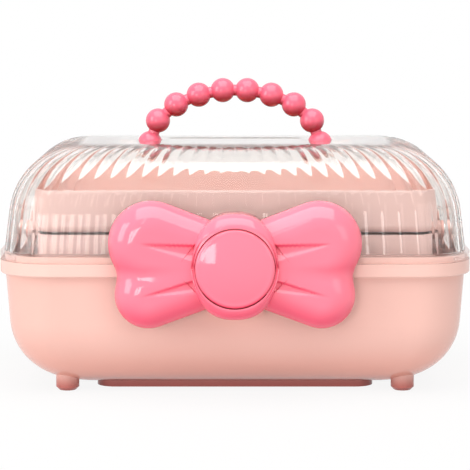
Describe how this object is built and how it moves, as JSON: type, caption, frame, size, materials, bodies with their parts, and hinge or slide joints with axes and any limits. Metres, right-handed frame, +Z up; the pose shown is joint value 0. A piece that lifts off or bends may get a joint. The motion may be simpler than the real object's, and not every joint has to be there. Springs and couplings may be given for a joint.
{
  "type": "makeup storage case",
  "caption": "Rounded vanity case with a clear fluted lid, cantilever trays, a bow-shaped push latch and a beaded arch handle.",
  "frame": {"origin": "middle of the flat plinth under the base", "axes": "+X along the length to the right, +Y to the hinge side, +Z up; the latch faces -Y"},
  "size_m": [0.3, 0.2258, 0.1981],
  "materials": {
    "base_pink": "gloss",
    "clear_lid": "clear",
    "tray_pink": "satin",
    "arm_pink": "satin",
    "bow_pink": "high gloss",
    "handle_pink": "satin gloss",
    "catch_white": "satin",
    "pin_steel": "brushed"
  },
  "bodies": {
    "base": {"base_tub": "base_pink", "hinge_pins": "pin_steel", "base_pivot_pins": "pin_steel", "bow_cover": "bow_pink", "latch_bracket": "base_pink", "catch_pin": "pin_steel", "case_screws": "pin_steel", "button_springs": "pin_steel"},
    "lid": {"lid_shell": "clear_lid", "lid_rim": "clear_lid", "lift_studs": "clear_lid"},
    "handle": {"handle_beads": "handle_pink", "handle_pins": "pin_steel"},
    "front_arms": {"front_arm_left": "arm_pink", "front_arm_right": "arm_pink"},
    "rear_arms": {"rear_arm_left": "arm_pink", "rear_arm_right": "arm_pink"},
    "upper_tray": {"upper_tray": "tray_pink", "upper_tray_pins": "pin_steel"},
    "lower_tray": {"lower_tray": "tray_pink", "lower_tray_pins": "pin_steel"},
    "button": {"bow_button": "bow_pink"},
    "catch": {"latch_catch": "catch_white"}
  },
  "joints": [
    {"name": "lid_hinge", "type": "hinge", "parent": "base", "child": "lid", "pos_m": [0, 0.099, 0.088], "axis": [-1, 0, 0], "range_deg": [0, 100]},
    {"name": "front_arms_pivot", "type": "hinge", "parent": "base", "child": "front_arms", "pos_m": [0, 0.00498, 0.088], "axis": [-1, 0, 0], "range_deg": [0, 100]},
    {"name": "rear_arms_pivot", "type": "hinge", "parent": "base", "child": "rear_arms", "pos_m": [0, 0.06, 0.088], "axis": [-1, 0, 0], "range_deg": [0, 100]},
    {"name": "upper_tray_pivot", "type": "hinge", "parent": "front_arms", "child": "upper_tray", "pos_m": [0, -0.0578, 0.10482], "axis": [-1, 0, 0], "range_deg": [-100, 0]},
    {"name": "lower_tray_pivot", "type": "hinge", "parent": "front_arms", "child": "lower_tray", "pos_m": [0, -0.03365, 0.09835], "axis": [-1, 0, 0], "range_deg": [-100, 0]},
    {"name": "handle_tilt", "type": "hinge", "parent": "lid", "child": "handle", "pos_m": [0, 0, 0.1548], "axis": [-1, 0, 0], "range_deg": [-42, 42]},
    {"name": "button_press", "type": "slide", "parent": "base", "child": "button", "axis": [0, 1, 0], "range_m": [0, 0.0025], "stiffness_N_per_m": 600, "springref_m": -0.0015, "deforming": ["button_springs"]},
    {"name": "catch_rock", "type": "hinge", "parent": "base", "child": "catch", "pos_m": [0, -0.101, 0.08], "axis": [1, 0, 0], "range_deg": [0, 15.3]}
  ],
  "couplings": [
    {"joint": "front_arms_pivot", "follows": "lid_hinge", "ratio": 1},
    {"joint": "rear_arms_pivot", "follows": "lid_hinge", "ratio": 1},
    {"joint": "upper_tray_pivot", "follows": "lid_hinge", "ratio": -1},
    {"joint": "lower_tray_pivot", "follows": "lid_hinge", "ratio": -1},
    {"joint": "catch_rock", "follows": "button_press", "rad_per_m": 106.52}
  ]
}
